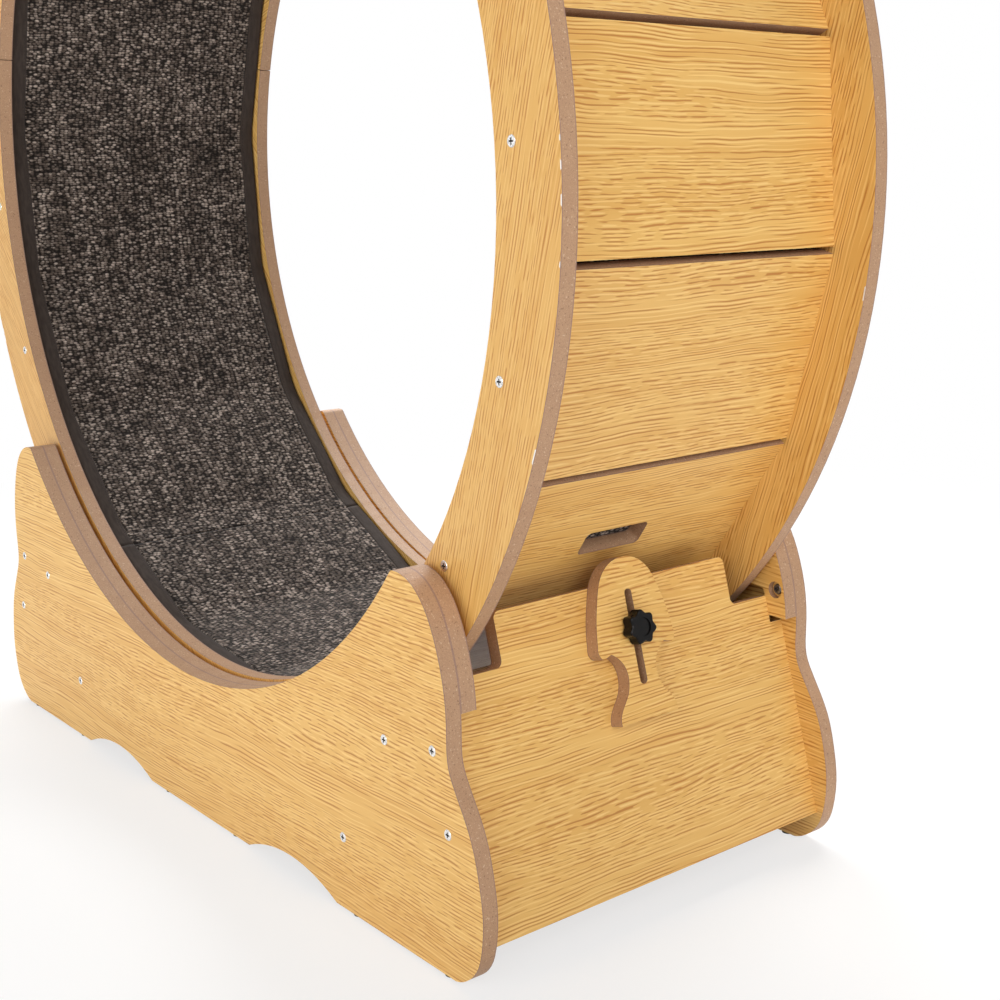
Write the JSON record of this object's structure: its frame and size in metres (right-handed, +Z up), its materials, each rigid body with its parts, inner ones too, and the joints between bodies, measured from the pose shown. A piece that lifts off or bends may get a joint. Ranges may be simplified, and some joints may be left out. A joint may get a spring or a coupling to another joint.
{
  "type": "cat exercise wheel",
  "caption": "Slatted wheel for a cat to run in, lined with carpet, turning on rollers in a free-standing base with a sliding lock.",
  "frame": {"origin": "on the floor, under the middle of the wheel", "axes": "+X along the base towards the lock, +Y along the axis of the wheel, +Z up"},
  "size_m": [0.9, 0.3406, 0.9619],
  "materials": {
    "oak_board": "satin oak foil over fibreboard",
    "loop_pile": "loop pile",
    "sewn_edge": "smooth tape",
    "zinc_screw": "bright zinc",
    "dark_screw": "dull zinc",
    "pad_rubber": "matt",
    "steel": "plain",
    "bearing_steel": "ground",
    "roller_rubber": "matt",
    "hub_plastic": "matt",
    "knob_plastic": "gloss",
    "insert_brass": "turned"
  },
  "bodies": {
    "base": {"near_side_panel": "oak_board", "far_side_panel": "oak_board", "near_saddle_plate": "oak_board", "far_saddle_plate": "oak_board", "lock_end_panel": "oak_board", "plain_end_panel": "oak_board", "lock_side_cross_board": "oak_board", "plain_side_cross_board": "oak_board", "panel_screws": "zinc_screw", "saddle_screws": "dark_screw", "foot_pads": "pad_rubber", "roller_axles": "steel", "axle_spacers": "steel", "bearing_inner_rings": "bearing_steel", "lock_bolt": "steel", "lock_washer": "steel"},
    "wheel": {"near_rim_segment_1": "oak_board", "near_rim_segment_2": "oak_board", "near_rim_segment_3": "oak_board", "far_rim_segment_1": "oak_board", "far_rim_segment_2": "oak_board", "far_rim_segment_3": "oak_board", "slat_01": "oak_board", "slat_02": "oak_board", "slat_03": "oak_board", "slat_04": "oak_board", "slat_05": "oak_board", "slat_06": "oak_board", "slat_07": "oak_board", "slat_08": "oak_board", "slat_09": "oak_board", "slat_10": "oak_board", "slat_11": "oak_board", "slat_12": "oak_board", "slat_13": "oak_board", "slat_14": "oak_board", "slat_15": "oak_board", "slat_16": "oak_board", "slat_17": "oak_board", "slat_18": "oak_board", "rim_screws": "zinc_screw", "carpet_runner": "loop_pile", "near_carpet_binding": "sewn_edge", "far_carpet_binding": "sewn_edge"},
    "roller_1": {"roller_tyre_1": "roller_rubber", "roller_hub_1": "hub_plastic", "roller_bearings_1": "bearing_steel"},
    "roller_2": {"roller_tyre_2": "roller_rubber", "roller_hub_2": "hub_plastic", "roller_bearings_2": "bearing_steel"},
    "roller_3": {"roller_tyre_3": "roller_rubber", "roller_hub_3": "hub_plastic", "roller_bearings_3": "bearing_steel"},
    "roller_4": {"roller_tyre_4": "roller_rubber", "roller_hub_4": "hub_plastic", "roller_bearings_4": "bearing_steel"},
    "lock_plate": {"lock_plate": "oak_board"},
    "knob": {"star_knob": "knob_plastic", "knob_insert": "insert_brass"}
  },
  "joints": [
    {"name": "wheel_spin", "type": "hinge", "parent": "base", "child": "wheel", "pos_m": [0, 0, 0.512], "axis": [0, 1, 0], "continuous": true},
    {"name": "roller_1_spin", "type": "hinge", "parent": "base", "child": "roller_1", "pos_m": [0.31135, -0.136, 0.16622], "axis": [0, 1, 0], "continuous": true},
    {"name": "roller_2_spin", "type": "hinge", "parent": "base", "child": "roller_2", "pos_m": [0.31135, 0.136, 0.16622], "axis": [0, 1, 0], "continuous": true},
    {"name": "roller_3_spin", "type": "hinge", "parent": "base", "child": "roller_3", "pos_m": [-0.31135, -0.136, 0.16622], "axis": [0, 1, 0], "continuous": true},
    {"name": "roller_4_spin", "type": "hinge", "parent": "base", "child": "roller_4", "pos_m": [-0.31135, 0.136, 0.16622], "axis": [0, 1, 0], "continuous": true},
    {"name": "lock_slide", "type": "slide", "parent": "base", "child": "lock_plate", "axis": [-0.2639, 0, 0.9646], "range_m": [-0.0245, 0.0155]},
    {"name": "knob_turn", "type": "hinge", "parent": "base", "child": "knob", "pos_m": [0.35124, 0, 0.20382], "axis": [0.9646, 0, 0.2639], "range_deg": [0, 360]}
  ],
  "couplings": [
    {"joint": "roller_1_spin", "follows": "wheel_spin", "ratio": -30},
    {"joint": "roller_2_spin", "follows": "wheel_spin", "ratio": -30},
    {"joint": "roller_3_spin", "follows": "wheel_spin", "ratio": -30},
    {"joint": "roller_4_spin", "follows": "wheel_spin", "ratio": -30}
  ]
}
